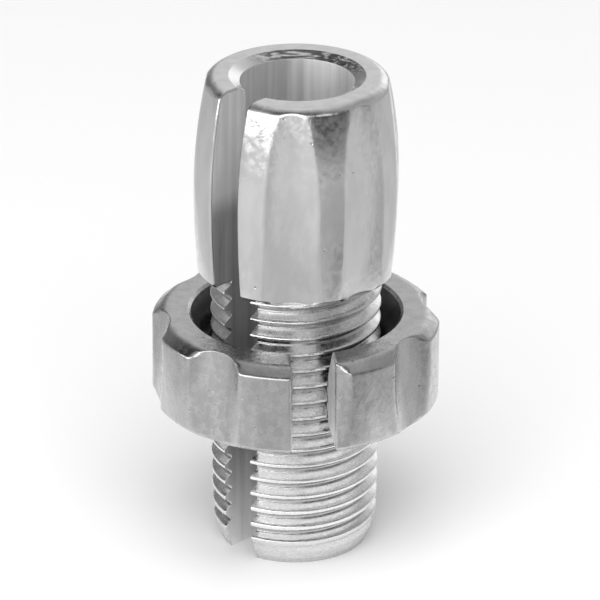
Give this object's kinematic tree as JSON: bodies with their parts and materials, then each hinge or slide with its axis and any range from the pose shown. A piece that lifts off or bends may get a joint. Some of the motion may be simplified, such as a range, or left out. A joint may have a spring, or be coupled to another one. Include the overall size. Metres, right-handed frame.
{
  "type": "slotted cable barrel adjuster",
  "caption": "Slotted threaded barrel that seats a control-cable housing and sets its tension, held by a lobed lock ring that runs along its thread.",
  "frame": {"origin": "centre of the shank's lower end, on the thread axis", "axes": "+Z along the thread axis from the shank end towards the head; the barrel's slot faces -X -Y and the ring's slot faces about -Y"},
  "size_m": [0.0164, 0.0164, 0.0285],
  "materials": {
    "barrel_metal": "bright machined and tumbled",
    "ring_metal": "tumbled, softly polished"
  },
  "bodies": {
    "barrel": {"adjuster_barrel": "barrel_metal"},
    "ring": {"lock_ring": "ring_metal"}
  },
  "joints": [
    {"name": "ring_travel", "type": "slide", "parent": "barrel", "child": "ring", "axis": [0, 0, 1], "range_m": [-0.008, 0.003]}
  ]
}
